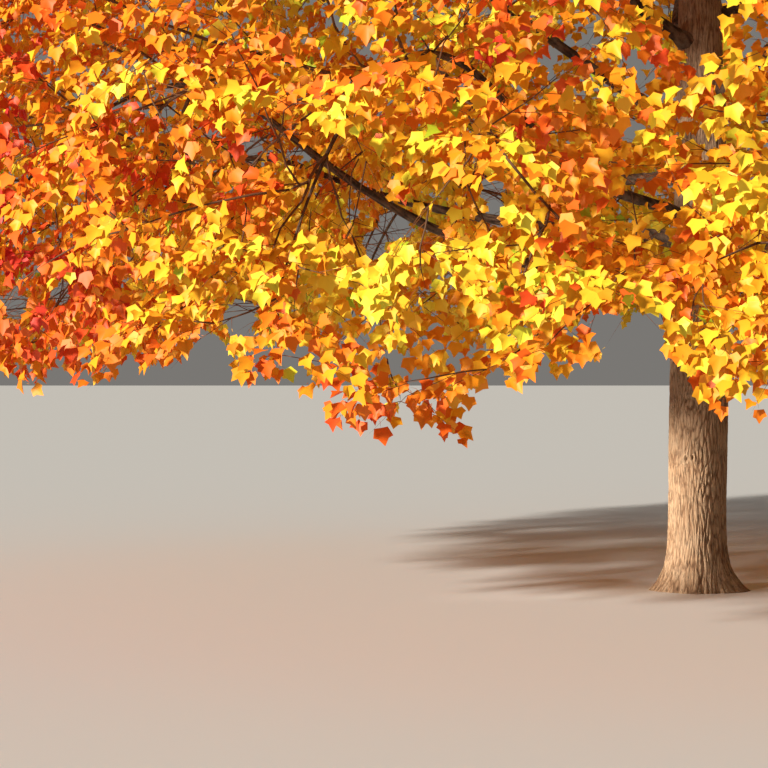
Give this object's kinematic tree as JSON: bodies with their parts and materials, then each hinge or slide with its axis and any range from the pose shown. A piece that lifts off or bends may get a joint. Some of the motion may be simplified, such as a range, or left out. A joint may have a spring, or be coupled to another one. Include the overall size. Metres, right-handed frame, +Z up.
{
  "type": "maple tree",
  "caption": "Broad, low-skirted maple tree in autumn leaf: a single furrowed trunk with a flared foot, rising boughs, and a full dome of gold, orange and red foliage.",
  "frame": {"origin": "middle of the trunk's flat cut at ground level", "axes": "+Z up along the trunk; the side seen in the picture faces -Y, and +X is to the right in it"},
  "size_m": [12.2349, 12.3366, 12.2824],
  "materials": {
    "bark": "furrowed bark",
    "limb_bark": "dark bark",
    "skirt_leaves": "autumn leaf",
    "middle_leaves": "autumn leaf",
    "upper_leaves": "autumn leaf",
    "top_leaves": "autumn leaf"
  },
  "bodies": {
    "root": {"trunk": "bark", "skirt_1_bough": "limb_bark", "skirt_1_leaves": "skirt_leaves", "skirt_2_bough": "limb_bark", "skirt_2_leaves": "skirt_leaves", "skirt_3_bough": "limb_bark", "skirt_3_leaves": "skirt_leaves", "skirt_4_bough": "limb_bark", "skirt_4_leaves": "skirt_leaves", "skirt_5_bough": "limb_bark", "skirt_5_leaves": "skirt_leaves", "skirt_6_bough": "limb_bark", "skirt_6_leaves": "skirt_leaves", "skirt_7_bough": "limb_bark", "skirt_7_leaves": "skirt_leaves", "skirt_8_bough": "limb_bark", "skirt_8_leaves": "skirt_leaves", "skirt_9_bough": "limb_bark", "skirt_9_leaves": "skirt_leaves", "middle_1_bough": "limb_bark", "middle_1_leaves": "middle_leaves", "middle_2_bough": "limb_bark", "middle_2_leaves": "middle_leaves", "middle_3_bough": "limb_bark", "middle_3_leaves": "middle_leaves", "middle_4_bough": "limb_bark", "middle_4_leaves": "middle_leaves", "middle_5_bough": "limb_bark", "middle_5_leaves": "middle_leaves", "middle_6_bough": "limb_bark", "middle_6_leaves": "middle_leaves", "middle_7_bough": "limb_bark", "middle_7_leaves": "middle_leaves", "middle_8_bough": "limb_bark", "middle_8_leaves": "middle_leaves", "upper_1_bough": "limb_bark", "upper_1_leaves": "upper_leaves", "upper_2_bough": "limb_bark", "upper_2_leaves": "upper_leaves", "upper_3_bough": "limb_bark", "upper_3_leaves": "upper_leaves", "upper_4_bough": "limb_bark", "upper_4_leaves": "upper_leaves", "upper_5_bough": "limb_bark", "upper_5_leaves": "upper_leaves", "upper_6_bough": "limb_bark", "upper_6_leaves": "upper_leaves", "top_1_bough": "limb_bark", "top_1_leaves": "top_leaves", "top_2_bough": "limb_bark", "top_2_leaves": "top_leaves", "top_3_bough": "limb_bark", "top_3_leaves": "top_leaves", "top_4_bough": "limb_bark", "top_4_leaves": "top_leaves"}
  },
  "joints": []
}
